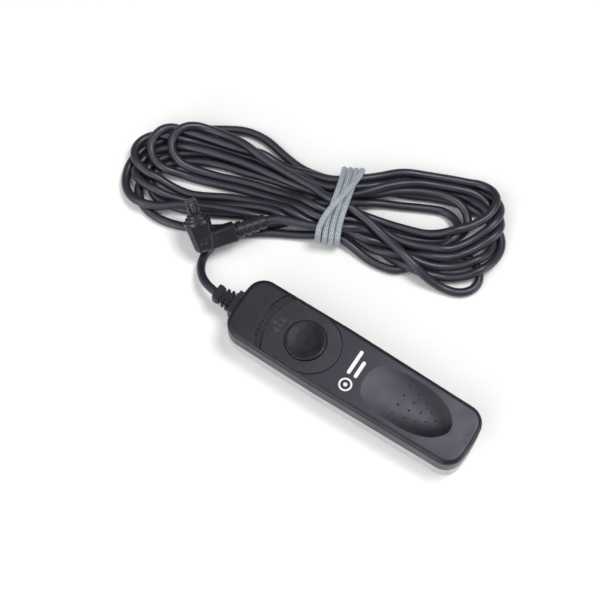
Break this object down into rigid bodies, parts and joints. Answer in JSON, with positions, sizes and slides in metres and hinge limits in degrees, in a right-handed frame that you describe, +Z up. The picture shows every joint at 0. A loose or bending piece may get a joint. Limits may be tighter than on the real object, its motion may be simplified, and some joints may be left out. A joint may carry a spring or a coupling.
{
  "type": "cable shutter release",
  "caption": "Hand-held camera remote switch with a thumb button in a sliding lock plate, a coiled and tied lead and a right-angle plug.",
  "frame": {"origin": "centre of the underside of the handset", "axes": "+Y along the handset towards its lead, +Z up out of the button, +X to the right"},
  "size_m": [0.1166, 0.1824, 0.0209],
  "materials": {
    "black_case": "fine spark-eroded texture, satin",
    "grey_case": "fine spark-eroded texture, satin",
    "button": "smooth, soft gloss",
    "insulator": "matt",
    "contact_brass": "bright",
    "steel": "bright zinc",
    "cable_jacket": "satin PVC",
    "wire_red": "satin PVC",
    "wire_white": "satin PVC",
    "wire_yellow": "satin PVC",
    "boot_rubber": "matt",
    "tie_elastic": "woven elastic cord",
    "plug_plastic": "fine texture, satin"
  },
  "bodies": {
    "handset": {"top_cover": "black_case", "bottom_cover": "grey_case", "case_screws": "steel", "contact_base": "insulator", "contact_spacers": "insulator", "common_terminal": "contact_brass", "focus_terminal": "contact_brass", "shutter_leaf": "contact_brass", "contact_screws": "steel", "jacket_end": "cable_jacket", "cable_clamp": "steel", "clamp_screws": "steel", "wire_common": "wire_red", "wire_focus": "wire_white", "wire_shutter": "wire_yellow", "strain_relief": "boot_rubber", "cord_lead": "cable_jacket", "cord_hank": "cable_jacket", "elastic_tie": "tie_elastic", "plug_lead": "cable_jacket", "plug_relief": "plug_plastic", "plug_housing": "plug_plastic", "plug_collar": "plug_plastic", "plug_nose": "plug_plastic", "plug_insulator": "insulator", "plug_contacts": "contact_brass"},
    "lock_plate": {"slide_plate": "black_case", "slide_bridge": "black_case", "return_spring": "steel"},
    "button": {"button_cap": "button"},
    "common_blade": {"common_leaf": "contact_brass"},
    "focus_blade": {"focus_leaf": "contact_brass"}
  },
  "joints": [
    {"name": "lock_slide", "type": "slide", "parent": "handset", "child": "lock_plate", "axis": [0, 1, 0], "range_m": [0, 0.0032]},
    {"name": "button_press", "type": "slide", "parent": "lock_plate", "child": "button", "axis": [0, 0, -1], "range_m": [0, 0.002], "stiffness_N_per_m": 500, "springref_m": -0.001, "deforming": ["return_spring"]},
    {"name": "common_flex", "type": "hinge", "parent": "handset", "child": "common_blade", "pos_m": [0, 0.005, 0.0091], "axis": [-1, 0, 0], "range_deg": [0, 7.5]},
    {"name": "focus_flex", "type": "hinge", "parent": "handset", "child": "focus_blade", "pos_m": [0, 0.005, 0.0071], "axis": [-1, 0, 0], "range_deg": [0, 4]}
  ],
  "couplings": [
    {"joint": "common_flex", "follows": "button_press", "rad_per_m": 60},
    {"joint": "focus_flex", "follows": "button_press", "rad_per_m": 30}
  ]
}
